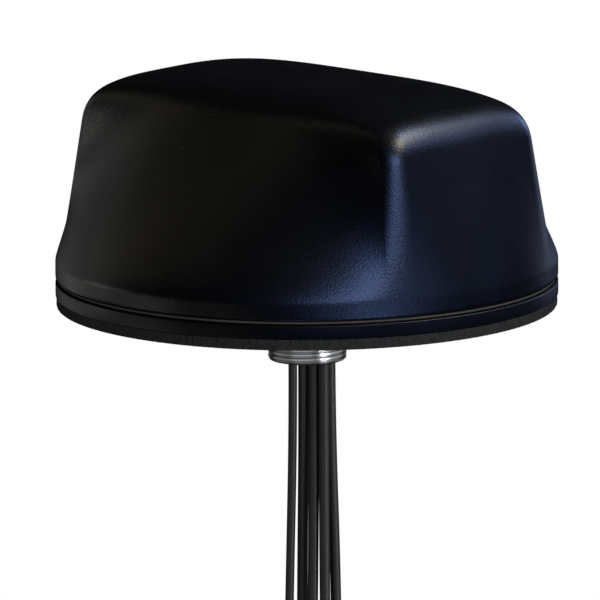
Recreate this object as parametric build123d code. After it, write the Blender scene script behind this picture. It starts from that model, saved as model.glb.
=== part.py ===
from build123d import *
import math
import os

# Stud-mount antenna dome with a built-in satellite-positioning receiver board, four vertical
# radio elements and five coaxial leads that leave through a hollow threaded stud.
# Millimetres, +Z up. The origin is on the stud's axis, in the plane of the pad's underside,
# which lies on the vehicle roof or mast plate. +X runs along the long side of the dome's top.

os.makedirs("parts", exist_ok=True)

# ---- driving dimensions: base stack ----
base_radius = 80.0
pad_radius = 79.6
pad_thickness = 3.5
pad_hole_radius = 14.0
band_height = 4.45
seal_height = 1.7
skirt_height = 5.3
band_bottom = pad_thickness
band_top = band_bottom + band_height
skirt_bottom = band_top + seal_height
skirt_top = skirt_bottom + skirt_height

# ---- driving dimensions: dome ----
wall = 2.6
top_half_length = 67.4
top_half_width = 34.05
top_corner_radius = 6.5
top_height = 73.2
crown_drop_x = 5.85
crown_drop_y = 3.95
crown_power = 3.8
edge_round = 14.5
side_flare = 1.2
crown_cap_drop = 0.1
section_count = 22

# ---- driving dimensions: stud ----
stud_radius = 12.5
stud_length = 17.7
stud_neck_radius = 12.2
stud_bore_radius = 9.3
stud_chamfer = 0.6
flange_radius = 19.0
flange_thickness = 3.0
flange_screw_circle = 15.8
grommet_bottom = -14.5
grommet_length = 8.0

# ---- driving dimensions: inside ----
floor_thickness = 2.5
floor_top = band_bottom + floor_thickness
pocket_radius = 74.0
spigot_outer = 76.8
spigot_inner = 75.2
spigot_top = 13.0
boss_circle = 70.8
boss_radius = 4.0
boss_bottom = 9.0
boss_top = 34.0
boss_count = 6
chassis_bottom = 14.0
chassis_thickness = 1.5
chassis_top = chassis_bottom + chassis_thickness
chassis_radius = 64.0
chassis_hole_radius = 15.0
post_x = 44.0
post_y = 30.0
board_bottom = 22.0
board_thickness = 1.6
board_top = board_bottom + board_thickness
board_length = 72.0
board_width = 50.0
standoff_x = 32.5
standoff_y = 21.5
patch_x = -6.0
cell_board_x = 40.0
cell_board_width = 46.0
cell_board_height = 36.0
wifi_board_y = 38.0
wifi_board_width = 30.0
wifi_board_height = 20.0
jack_size = 4.0
jack_axis_height = 18.7
inner_bend_radius = 8.0

# ---- driving dimensions: leads and plugs ----
lead_radius = 1.7
gnss_lead_radius = 1.4
plug_tip = -316.0
plug_rear = plug_tip + 16.5
nut_flats = 8.0
nut_length = 8.3
fit_gap = 0.05

# Each lead by its hand-chosen route, from the grommet's lower face to the back of its plug.
# The five leave the stud side by side and fan out to a ring, so that their plugs hang clear.
lead_routes = {
    "gnss": [(-3.1, -3.5, grommet_bottom), (-3.1, -3.5, -40), (-4.2, -4.2, -88),
             (-5.3, -4.9, -142), (-6.3, -5.6, -194), (-6.8, -5.9, -246),
             (-6.8, -5.9, plug_rear)],
    "cell_left": [(-1.4, -0.35, grommet_bottom), (-1.4, -0.35, -40), (-2.5, -0.2, -88),
                  (-4.5, 1.1, -142), (-6.8, 3.5, -194), (-7.8, 4.6, -246),
                  (-7.8, 4.6, plug_rear)],
    "wifi_front": [(2.15, 0.6, grommet_bottom), (2.15, 0.6, -40), (2.3, -0.3, -88),
                   (3.1, -2.9, -142), (3.5, -6.4, -194), (3.5, -8.3, -246),
                   (3.5, -8.3, plug_rear)],
    "cell_right": [(5.55, 1.6, grommet_bottom), (5.55, 1.6, -40), (5.8, 1.2, -88),
                   (6.8, 0.8, -142), (8.2, 0.8, -194), (9.0, 0.8, -246),
                   (9.0, 0.8, plug_rear)],
    "wifi_rear": [(5.1, 5.2, grommet_bottom), (5.1, 5.2, -40), (5.4, 7.0, -88),
                  (4.6, 8.3, -142), (3.0, 8.8, -194), (2.0, 8.9, -246),
                  (2.0, 8.9, plug_rear)],
}

# Where each lead ends inside the dome: at a jack on the foot of its own radio element.
inner_ends = {
    "cell_left": (-(cell_board_x - jack_size), lead_routes["cell_left"][0][1]),
    "wifi_front": (lead_routes["wifi_front"][0][0], -(wifi_board_y - jack_size)),
    "cell_right": (cell_board_x - jack_size, lead_routes["cell_right"][0][1]),
    "wifi_rear": (lead_routes["wifi_rear"][0][0], wifi_board_y - jack_size),
}


def radius_of(name):
    return gnss_lead_radius if name == "gnss" else lead_radius


def tube(outer, inner, bottom, top):
    """Upright tube about Z between two heights."""
    return Pos(0, 0, bottom) * extrude(Circle(outer) - Circle(inner), top - bottom)


def rod(radius, bottom, top, x=0.0, y=0.0):
    """Upright round bar between two heights."""
    return Pos(x, y, bottom) * extrude(Circle(radius), top - bottom)


def block(low, high):
    """Rectangular block between two corners."""
    size = [b - a for a, b in zip(low, high)]
    middle = [(a + b) / 2 for a, b in zip(low, high)]
    return Pos(*middle) * Box(*size)


def ring_points(radius, count, start=0.0):
    """Points evenly spaced on a circle, as (x, y)."""
    step = 360.0 / count
    angles = [math.radians(start + i * step) for i in range(count)]
    return [(radius * math.cos(a), radius * math.sin(a)) for a in angles]


def group(solids):
    return Compound(children=list(solids))


def screw(x, y, seat, head_radius, head_height, shank_radius, shank_length, up=1.0):
    """Pan-head screw whose head stands above its seat; up of -1 turns it head down."""
    head = rod(head_radius, 0, head_height)
    head = fillet(head.edges().sort_by(Axis.Z)[-1], head_height * 0.45)
    drive = extrude(RegularPolygon(head_radius * 0.45, 6), head_height * 0.55)
    head -= Pos(0, 0, head_height * 0.45) * drive
    body = head + rod(shank_radius, -shank_length, 0)
    turned = body if up > 0 else Rot(180, 0, 0) * body
    return Pos(x, y, seat) * turned


# ---- dome surface ----
def section_angles():
    """Polar angles of a section's points: close together round the four top corners."""
    corner_x = top_half_length - top_corner_radius
    corner_y = top_half_width - top_corner_radius
    quarter = []
    for i in range(7):
        quarter.append(math.atan2(corner_y * i / 7, top_half_length))
    for i in range(6):
        turn = math.radians(90 * i / 5)
        x = corner_x + top_corner_radius * math.cos(turn)
        y = corner_y + top_corner_radius * math.sin(turn)
        quarter.append(math.atan2(y, x))
    for i in range(1, 9):
        quarter.append(math.atan2(top_half_width, corner_x * (1 - i / 9)))
    mirrored = [math.pi - a for a in reversed(quarter[1:])]
    half = quarter + [math.pi / 2] + mirrored
    return half + [a + math.pi for a in half]


def top_radius(angle, half_length, half_width, corner):
    """Distance from the axis to the rounded rectangle of the top, at a polar angle."""
    c = abs(math.cos(angle))
    s = abs(math.sin(angle))
    r = min(half_length / max(c, 1e-9), half_width / max(s, 1e-9))
    cx = half_length - corner
    cy = half_width - corner
    if r * c > cx and r * s > cy:
        along = c * cx + s * cy
        r = along + math.sqrt(max(along * along - (cx * cx + cy * cy - corner * corner), 0.0))
    return r


def crown_height(r, angle, peak):
    """Height of the crowned top above the mounting plane."""
    x = abs(r * math.cos(angle)) / top_half_length
    y = abs(r * math.sin(angle)) / top_half_width
    return peak - crown_drop_x * x**crown_power - crown_drop_y * y**crown_power


def dome_profile(angle, inset):
    """Outline of the dome in the half plane at one polar angle, as (r, z) from skirt to crown.

    The side leaves the skirt circle and runs to the rounded rectangle of the top; the crown
    closes it; a round of edge_round joins the two.
    """
    foot = base_radius - inset
    corner = max(top_corner_radius - inset, 2.0)
    rim = top_radius(angle, top_half_length - inset, top_half_width - inset, corner)
    peak = top_height - inset
    rim_height = crown_height(rim, angle, peak)
    side = []
    for i in range(41):
        s = i / 40
        r = foot + (rim - foot) * s**side_flare
        side.append((r, skirt_top + (rim_height - skirt_top) * s))
    crown = []
    for i in range(1, 60):
        r = rim * (1 - i / 60)
        crown.append((r, crown_height(r, angle, peak)))
    slope_in = math.atan2(side[-1][1] - side[-2][1], side[-1][0] - side[-2][0])
    slope_out = math.atan2(crown[0][1] - rim_height, crown[0][0] - rim)
    reach = (edge_round - inset) * math.tan(abs(slope_out - slope_in) / 2)
    before = [p for p in side if math.dist(p, side[-1]) > reach]
    after = [p for p in crown if math.dist(p, side[-1]) > reach]
    start = before[-1]
    end = after[0]
    bend = []
    for i in range(1, 12):
        u = i / 12
        r = (1 - u)**2 * start[0] + 2 * u * (1 - u) * rim + u * u * end[0]
        z = (1 - u)**2 * start[1] + 2 * u * (1 - u) * rim_height + u * u * end[1]
        bend.append((r, z))
    return before + bend + after


def radius_at(profile, height):
    """Radius where a profile crosses a height."""
    for (r0, z0), (r1, z1) in zip(profile, profile[1:]):
        if z0 <= height < z1:
            return r0 + (r1 - r0) * (height - z0) / (z1 - z0)
    return profile[-1][0]


def dome_solid(inset, bottom):
    """Solid bounded by the dome surface, moved inwards by inset, on a straight skirt."""
    angles = section_angles()
    profiles = [dome_profile(a, inset) for a in angles]
    marks = [a / (2 * math.pi) for a in angles] + [1.0]
    last = top_height - inset - crown_cap_drop
    wires = []
    for k in range(section_count):
        t = k / (section_count - 1)
        height = skirt_top + (last - skirt_top) * (1 - (1 - t)**1.9)
        points = []
        for angle, profile in zip(angles, profiles):
            r = base_radius - inset if k == 0 else radius_at(profile, height)
            points.append((r * math.cos(angle), r * math.sin(angle), height))
        wires.append(Wire([Edge.make_spline(points, periodic=True, parameters=marks)]))
    dome = Solid.make_loft(wires)
    foot = dome.faces().sort_by(Axis.Z)[0]
    return dome + Solid.extrude(foot, Vector(0, 0, bottom - skirt_top))


def make_radome():
    """Moulded cover: dome, vertical skirt and six screw bosses that reach down to the base."""
    shell = dome_solid(0.0, skirt_bottom) - dome_solid(wall, skirt_bottom - 1)
    trim = dome_solid(wall / 2, boss_bottom)
    for x, y in ring_points(boss_circle, boss_count):
        boss = rod(boss_radius, boss_bottom, boss_top, x, y) & trim
        shell += boss
    for x, y in ring_points(boss_circle, boss_count):
        shell -= rod(1.45 + fit_gap, boss_bottom - 1, boss_bottom + 9.5, x, y)
    return shell


# ---- base stack ----
def make_base_plate():
    """Cast base: rim band, pocketed floor, locating spigot, boss seats and chassis posts."""
    plate = rod(base_radius, band_bottom, band_top) - rod(pocket_radius, floor_top, band_top)
    plate += tube(spigot_outer, spigot_inner, band_top, spigot_top)
    for x, y in ring_points(boss_circle, boss_count):
        plate += rod(boss_radius + 1, floor_top - 0.5, boss_bottom, x, y) & rod(
            spigot_outer, band_bottom, spigot_top
        )
    for x in (-post_x, post_x):
        for y in (-post_y, post_y):
            plate += rod(3.5, floor_top, chassis_bottom, x, y)
    for x, y in ring_points(boss_circle, boss_count):
        plate -= rod(1.7, band_bottom - 1, boss_bottom + 1, x, y)
        plate -= rod(3.1, band_bottom - 1, band_bottom + 2.0, x, y)
    for x in (-post_x, post_x):
        for y in (-post_y, post_y):
            plate -= rod(1.5, floor_top + 1, chassis_bottom + 1, x, y)
    for x, y in ring_points(flange_screw_circle, 4, 45):
        plate -= rod(1.5, band_bottom - 1, floor_top + 1, x, y)
    plate -= rod(stud_radius + 0.2, band_bottom - 1, floor_top + 1)
    return plate


def make_mounting_pad():
    """Self-adhesive foam ring between the base and the surface it is mounted on."""
    return tube(pad_radius, pad_hole_radius, 0, pad_thickness)


def make_radome_seal():
    """Rubber ring in the groove between base and cover: two lips with a furrow between them."""
    ring = tube(79.2, spigot_outer + 0.1, band_top, skirt_bottom)
    middle = (band_top + skirt_bottom) / 2
    return ring - tube(81.0, 78.6, middle - 0.3, middle + 0.3)


def make_stud():
    """Hollow stud with a screwed-down flange and a plain neck above its M25 x 1.5 shank."""
    stud = rod(stud_radius, -stud_length, 0) + rod(stud_neck_radius, 0, floor_top)
    stud += rod(flange_radius, floor_top, floor_top + flange_thickness)
    lower = stud.edges().filter_by(GeomType.CIRCLE).sort_by(Axis.Z)[0]
    stud = chamfer(lower, stud_chamfer)
    stud -= rod(stud_bore_radius, -stud_length - 1, floor_top + flange_thickness + 1)
    for x, y in ring_points(flange_screw_circle, 4, 45):
        stud -= rod(1.6, floor_top - 1, floor_top + flange_thickness + 1, x, y)
    return stud


def make_grommet():
    """Rubber plug in the stud's bore with one hole for each lead."""
    body = rod(stud_bore_radius, grommet_bottom, grommet_bottom + grommet_length)
    for name, route in lead_routes.items():
        x, y, _ = route[0]
        body -= rod(radius_of(name) + 0.02, grommet_bottom - 1, grommet_bottom + grommet_length + 1, x, y)
    return body


# ---- chassis and receiver ----
def make_chassis():
    """Sheet-metal ground plane on the base's posts, open in the middle for the leads."""
    plate = tube(chassis_radius, chassis_hole_radius, chassis_bottom, chassis_top)
    for x in (-post_x, post_x):
        for y in (-post_y, post_y):
            plate -= rod(1.7, chassis_bottom - 1, chassis_top + 1, x, y)
    for x, y in standoff_places():
        plate -= rod(1.65, chassis_bottom - 1, chassis_top + 1, x, y)
    for x, y in bracket_places():
        plate -= rod(1.3, chassis_bottom - 1, chassis_top + 1, x, y)
    return plate


def standoff_places():
    return [(x, y) for x in (-standoff_x, standoff_x) for y in (-standoff_y, standoff_y)]


def bracket_places():
    """Screw positions of the eight element brackets."""
    foot = 6.0
    cell = [(sx * (cell_board_x + 2.8 + foot), sy * 13.0) for sx in (-1, 1) for sy in (-1, 1)]
    wifi = [(sx * 9.0, sy * (wifi_board_y + 2.8 + foot)) for sx in (-1, 1) for sy in (-1, 1)]
    return cell + wifi


def make_standoffs():
    pillars = []
    for x, y in standoff_places():
        pillar = Pos(x, y, chassis_top) * extrude(RegularPolygon(2.5, 6, major_radius=False), 6.5)
        pillar += rod(1.6, chassis_bottom, chassis_top, x, y)
        pillars.append(pillar - rod(1.1, board_bottom - 5, board_bottom + 1, x, y))
    return group(pillars)


def make_receiver_board():
    """Receiver circuit board under the patch antenna."""
    half_x = board_length / 2
    half_y = board_width / 2
    board = block((-half_x, -half_y, board_bottom), (half_x, half_y, board_top))
    board = fillet(board.edges().filter_by(Axis.Z), 2.0)
    for x, y in standoff_places():
        board -= rod(1.35, board_bottom - 1, board_top + 1, x, y)
    return board


def patch(half, bottom, top):
    """Square ceramic tile with clipped corners and a hole for the feed pin."""
    tile = block((patch_x - half, -half, bottom), (patch_x + half, half, top))
    tile = chamfer(tile.edges().filter_by(Axis.Z), half * 0.08)
    return tile - rod(0.65, bottom - 1, top + 1, patch_x + 3.0, 0)


def make_shield_can():
    """Tinned steel can over the receiver chips."""
    can = block((18.5, -15, board_top), (34.5, 15, board_top + 3.5))
    can = fillet(can.edges().filter_by(Axis.Z), 1.0)
    return can - block((18.8, -14.7, board_top - 1), (34.2, 14.7, board_top + 3.2))


# ---- radio elements ----
def make_cell_board(side):
    """Upright printed cellular element, clipped at its upper corners."""
    inner = side * cell_board_x
    outer = side * (cell_board_x + board_thickness)
    low_x, high_x = min(inner, outer), max(inner, outer)
    half = cell_board_width / 2
    board = block((low_x, -half, chassis_top), (high_x, half, chassis_top + cell_board_height))
    upper = board.edges().filter_by(Axis.X).sort_by(Axis.Z)[-2:]
    return chamfer(upper, 8.0)


def make_wifi_board(side):
    """Upright printed Wi-Fi element."""
    inner = side * wifi_board_y
    outer = side * (wifi_board_y + board_thickness)
    low_y, high_y = min(inner, outer), max(inner, outer)
    half = wifi_board_width / 2
    board = block((-half, low_y, chassis_top), (half, high_y, chassis_top + wifi_board_height))
    upper = board.edges().filter_by(Axis.Y).sort_by(Axis.Z)[-2:]
    return chamfer(upper, 4.0)


def make_radiators():
    """Copper faces of the four elements, 0.1 mm thick, on the side away from the stud."""
    copper = 0.1
    solids = []
    for side in (-1, 1):
        face = side * (cell_board_x + board_thickness)
        far = face + side * copper
        low_x, high_x = min(face, far), max(face, far)
        bottom = chassis_top + 14.0
        solids.append(block((low_x, -18, bottom), (high_x, -2, chassis_top + 28)))
        solids.append(block((low_x, 2, bottom), (high_x, 18, chassis_top + 28)))
    for side in (-1, 1):
        face = side * (wifi_board_y + board_thickness)
        far = face + side * copper
        low_y, high_y = min(face, far), max(face, far)
        solids.append(block((-10, low_y, chassis_top + 13), (10, high_y, chassis_top + 18)))
    return group(solids)


def make_brackets():
    """Eight folded brackets: a foot on the chassis and an upright on the element's outer face."""
    sheet = 1.2
    base = Pos(6.6, 0, sheet / 2) * Box(13.2, 8, sheet)
    upright = Pos(sheet / 2, 0, 6) * Box(sheet, 8, 12)
    bracket = (base + upright) - rod(1.4, -1, 3, 7.2, 0)
    solids = []
    for side in (-1, 1):
        for y in (-13.0, 13.0):
            turn = 0 if side > 0 else 180
            place = Pos(side * (cell_board_x + board_thickness), y, chassis_top)
            solids.append(place * Rot(0, 0, turn) * bracket)
        for x in (-9.0, 9.0):
            place = Pos(x, side * (wifi_board_y + board_thickness), chassis_top)
            solids.append(place * Rot(0, 0, 90 * side) * bracket)
    return group(solids)


def make_jacks():
    """Four solder jacks at the feet of the elements; the leads end on them."""
    half = jack_size / 2
    low = jack_axis_height - half
    high = jack_axis_height + half
    solids = []
    for name, (x, y) in inner_ends.items():
        if name.startswith("cell"):
            side = 1 if x > 0 else -1
            far = side * cell_board_x
            solids.append(block((min(x, far), y - half, low), (max(x, far), y + half, high)))
        else:
            side = 1 if y > 0 else -1
            far = side * wifi_board_y
            solids.append(block((x - half, min(y, far), low), (x + half, max(y, far), high)))
    return group(solids)


# ---- leads ----
def swept(route, radii, radius):
    """Round tube along straight runs joined by tangent arcs."""
    line = FilletPolyline(*route, radius=radii) if radii else Polyline(*route)
    start = Vector(*route[1]) - Vector(*route[0])
    section = Plane(origin=route[0], z_dir=start) * Circle(radius)
    return sweep(section, path=line)


def arc_radii(route):
    """Largest arc at each corner: 0.45 of its shorter run over the tangent of half the turn."""
    points = [Vector(*p) for p in route]
    radii = []
    for a, b, c in zip(points, points[1:], points[2:]):
        turn = math.radians((b - a).get_angle(c - b))
        shorter = min((b - a).length, (c - b).length)
        radii.append(0.45 * shorter / math.tan(turn / 2))
    return radii


def make_lead(name):
    """Free lead from the grommet to the back of its plug; prints its arcs and its volume."""
    route = lead_routes[name]
    radii = arc_radii(route)
    solid = swept(route, radii, radius_of(name))
    length = FilletPolyline(*route, radius=radii).length
    section = math.pi * radius_of(name)**2
    print(f"{name} lead: length {length:.1f}, smallest arc {min(radii):.0f}, "
          f"volume over section times length {solid.volume / (section * length):.4f}")
    return solid


def make_inner_lead(name):
    """Lead inside the dome, from the grommet's lower face to its jack."""
    x, y, z = lead_routes[name][0]
    if name == "gnss":
        return rod(radius_of(name), z, board_bottom - 2.0, x, y)
    end_x, end_y = inner_ends[name]
    route = [(x, y, z), (x, y, jack_axis_height), (end_x, end_y, jack_axis_height)]
    return swept(route, [inner_bend_radius], radius_of(name))


def gnss_jack():
    """Snap-on jack under the receiver board, above the end of its lead."""
    x, y, _ = lead_routes["gnss"][0]
    return rod(1.9, board_bottom - 2.0, board_bottom, x, y)


# ---- plugs: s is the distance above the plug's tip, along its axis ----
def revolved(outline):
    """Solid of revolution about Z from (r, s) corners."""
    face = make_face(Polyline(*[(r, 0, s) for r, s in outline], close=True))
    return revolve(face, Axis.Z)


def at_plug(name, shape):
    x, y, _ = lead_routes[name][-1]
    return Pos(x, y, plug_tip) * shape


def make_plug_body():
    """Plug body: contact shell, retaining shoulder, neck, gripping collar and crimp post."""
    outline = [(0, 5.9), (2.05, 5.9), (2.05, 1.3), (2.28, 1.3), (2.28, 5.7), (2.8, 5.7), (2.8, 6.9),
               (2.38, 6.9), (2.38, 8.6), (3.1, 8.6), (3.1, 10.4), (2.6, 10.8), (2.6, 13.0),
               (2.0, 13.0), (2.0, 16.5), (0, 16.5)]
    body = revolved(outline)
    for side in (-1, 1):
        body -= Pos(side * 3.75, 0, 9.6) * Box(2, 8, 2.2)
    return body


def make_coupling_nut():
    """Loose hexagon nut, 8 mm across flats, that turns on the plug body's neck."""
    nut = extrude(RegularPolygon(nut_flats / 2, 6, major_radius=False), nut_length)
    limit = revolved([(0, 0), (4.1, 0), (4.62, 0.5), (4.62, nut_length - 0.5), (4.1, nut_length),
                      (0, nut_length)])
    cavity = revolved([(0, -1), (3.2, -1), (3.2, 0), (2.9, 0.3), (2.9, 5.4), (3.1, 5.6), (3.1, 7.2),
                       (2.45, 7.2), (2.45, nut_length + 1), (0, nut_length + 1)])
    return (nut & limit) - cavity


def make_boot(name):
    """Shrink sleeve over the crimp, narrowing to the lead."""
    r = radius_of(name) + fit_gap
    return revolved([(2.62, 13.2), (3.05, 13.2), (3.05, 17.8), (r + 0.55, 20.6), (r + 0.45, 27.0),
                     (r, 27.0), (r, 19.8), (2.62, 17.6)])


def make_ferrule():
    return tube(2.55, 2.05, 13.05, 17.4)


def make_insulator():
    """White sleeve that centres the pin in the contact shell."""
    return tube(2.03, 0.52, 2.4, 5.85)


def make_pin():
    """Centre contact with a pointed tip."""
    return revolved([(0, 0.5), (0.25, 0.7), (0.47, 1.3), (0.47, 5.85), (0, 5.85)])


# ---- write every node ----
def all_nodes():
    nodes = {
        "radome": make_radome(),
        "radome_seal": make_radome_seal(),
        "base_plate": make_base_plate(),
        "mounting_pad": make_mounting_pad(),
        "threaded_stud": make_stud(),
        "cable_grommet": make_grommet(),
        "chassis_plate": make_chassis(),
        "board_standoffs": make_standoffs(),
        "receiver_board": make_receiver_board(),
        "patch_tile_lower": patch(22.5, board_top, board_top + 6),
        "patch_electrode_lower": patch(21.0, board_top + 6, board_top + 6.1),
        "patch_tile_upper": patch(14.0, board_top + 6.1, board_top + 10.1),
        "patch_electrode_upper": patch(12.5, board_top + 10.1, board_top + 10.2),
        "patch_feed_pin": rod(0.6, board_top, board_top + 10.2, patch_x + 3.0, 0)
        + rod(1.1, board_top + 10.2, board_top + 10.6, patch_x + 3.0, 0),
        "shield_can": make_shield_can(),
        "gnss_jack": gnss_jack(),
        "cell_board_left": make_cell_board(-1),
        "cell_board_right": make_cell_board(1),
        "wifi_board_front": make_wifi_board(-1),
        "wifi_board_rear": make_wifi_board(1),
        "element_radiators": make_radiators(),
        "element_brackets": make_brackets(),
        "element_jacks": make_jacks(),
    }
    nodes["stud_screws"] = group(
        screw(x, y, floor_top + flange_thickness, 2.75, 1.8, 1.45, 5.0)
        for x, y in ring_points(flange_screw_circle, 4, 45)
    )
    nodes["radome_screws"] = group(
        screw(x, y, band_bottom + 2.0, 2.8, 1.9, 1.45, 12.0, up=-1)
        for x, y in ring_points(boss_circle, boss_count)
    )
    nodes["chassis_screws"] = group(
        screw(x, y, chassis_top, 2.75, 1.8, 1.45, 7.5)
        for x in (-post_x, post_x) for y in (-post_y, post_y)
    )
    nodes["board_screws"] = group(
        screw(x, y, board_top, 2.2, 1.5, 1.05, 5.5) for x, y in standoff_places()
    )
    nodes["bracket_screws"] = group(
        screw(x, y, chassis_top + 1.2, 2.2, 1.4, 1.25, 2.6) for x, y in bracket_places()
    )
    for name in lead_routes:
        nodes[f"{name}_lead"] = make_lead(name)
        nodes[f"{name}_inner_lead"] = make_inner_lead(name)
        nodes[f"{name}_plug"] = at_plug(name, make_plug_body())
        nodes[f"{name}_nut"] = at_plug(name, make_coupling_nut())
    nodes["plug_boots"] = group(at_plug(name, make_boot(name)) for name in lead_routes)
    nodes["plug_ferrules"] = group(at_plug(name, make_ferrule()) for name in lead_routes)
    nodes["plug_insulators"] = group(at_plug(name, make_insulator()) for name in lead_routes)
    nodes["plug_pins"] = group(at_plug(name, make_pin()) for name in lead_routes)
    return nodes


for node, shape in all_nodes().items():
    export_step(shape, f"parts/{node}.step")
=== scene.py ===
"""Looks of a stud-mount positioning antenna: dome, seal, base, foam pad, threaded stud and five leads.

Lengths are in metres, but for the leads' routes and the finishes' grain and relief, which are in
millimetres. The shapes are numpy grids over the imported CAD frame, whose boxes give the heights and
the outer radii; nothing else is read from disk.
"""

import logging
import math
from dataclasses import dataclass, field
from enum import Enum
from typing import Final

import bpy
import numpy as np
from mathutils import Euler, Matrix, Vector


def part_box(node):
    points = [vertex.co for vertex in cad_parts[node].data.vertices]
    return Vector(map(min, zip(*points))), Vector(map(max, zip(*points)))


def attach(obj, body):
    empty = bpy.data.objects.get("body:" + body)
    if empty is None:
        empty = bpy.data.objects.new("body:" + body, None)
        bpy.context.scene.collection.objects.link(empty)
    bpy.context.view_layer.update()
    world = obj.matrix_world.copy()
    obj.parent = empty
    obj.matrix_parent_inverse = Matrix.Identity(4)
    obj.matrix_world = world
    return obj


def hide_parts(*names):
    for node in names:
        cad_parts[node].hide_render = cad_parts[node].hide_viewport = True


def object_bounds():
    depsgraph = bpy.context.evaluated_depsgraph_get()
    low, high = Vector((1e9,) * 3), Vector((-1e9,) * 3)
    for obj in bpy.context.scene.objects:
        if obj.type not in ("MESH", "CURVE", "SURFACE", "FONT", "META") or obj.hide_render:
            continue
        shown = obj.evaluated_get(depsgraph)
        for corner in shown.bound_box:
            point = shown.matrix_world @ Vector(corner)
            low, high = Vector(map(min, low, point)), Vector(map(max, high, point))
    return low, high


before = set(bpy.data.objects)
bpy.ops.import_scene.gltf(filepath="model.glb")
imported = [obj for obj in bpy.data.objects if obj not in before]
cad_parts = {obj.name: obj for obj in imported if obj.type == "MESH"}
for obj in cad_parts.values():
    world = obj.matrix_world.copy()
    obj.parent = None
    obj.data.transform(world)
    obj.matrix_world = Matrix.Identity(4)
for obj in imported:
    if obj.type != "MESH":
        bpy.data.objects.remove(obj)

LOG: Final = logging.getLogger("antenna")
MM: Final = 0.001
BODY: Final = "antenna"
WHITE: Final = (1.0, 1.0, 1.0, 1.0)
# The CAD's box, taken before any piece is made.
CAD_BOX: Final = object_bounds()


# ---------------------------------------------------------------- colour and nodes

def linear(hex_code: str) -> tuple[float, float, float, float]:
    """Turn an sRGB hex code into linear RGBA.

    Args:
        hex_code: six hex digits after a hash sign.
    Returns:
        The colour as four linear numbers.
    """
    parts = np.array([int(hex_code[i:i + 2], 16) for i in (1, 3, 5)]) / 255
    value = np.where(parts <= 0.04045, parts / 12.92, ((parts + 0.055) / 1.055) ** 2.4)
    return (*value.tolist(), 1.0)


def add(tree: bpy.types.NodeTree, kind: str, settings: dict | None = None,
        links: dict | None = None) -> bpy.types.Node:
    """Add one node with its settings and incoming links.

    Args:
        tree: node tree that takes the node.
        kind: Blender's node type name.
        settings: attribute or input name to value; a number stands for that input's place.
        links: input name or place to the output socket that feeds it.
    Returns:
        The new node.
    """
    node = tree.nodes.new(kind)
    for key, value in (settings or {}).items():
        if isinstance(key, str) and hasattr(node, key):
            setattr(node, key, value)
        else:
            node.inputs[key].default_value = value
    for key, socket in (links or {}).items():
        tree.links.new(socket, node.inputs[key])
    return node


def ramp(tree: bpy.types.NodeTree, source: bpy.types.NodeSocket,
         stops: list[tuple[float, tuple]]) -> bpy.types.NodeSocket:
    """Add a colour ramp.

    Args:
        tree: node tree that takes the node.
        source: socket that drives the ramp.
        stops: (place, linear colour) pairs, two or more.
    Returns:
        The ramp's colour output.
    """
    node = add(tree, "ShaderNodeValToRGB", {}, {"Fac": source})
    elements = node.color_ramp.elements
    while len(elements) < len(stops):
        elements.new(0.5)
    for element, (place, colour) in zip(elements, stops):
        element.position = place
        element.color = colour
    return node.outputs["Color"]


class Pattern(Enum):
    """How a surface was made, which sets its relief."""

    SPARK_GRAIN = "spark"
    POWDER = "powder"
    FOAM = "foam"
    EXTRUDED = "extruded"
    TURNED = "turned"
    ROLLED = "rolled"


# How far each drawn, turned or rolled pattern is squeezed along X, Y and Z; under 1 is longer.
LINE_STRETCH: Final[dict[Pattern, tuple[float, float, float]]] = {
    Pattern.EXTRUDED: (1.0, 1.0, 0.04),
    Pattern.TURNED: (0.12, 0.12, 3.0),
    Pattern.ROLLED: (0.05, 1.0, 1.0),
}


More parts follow.
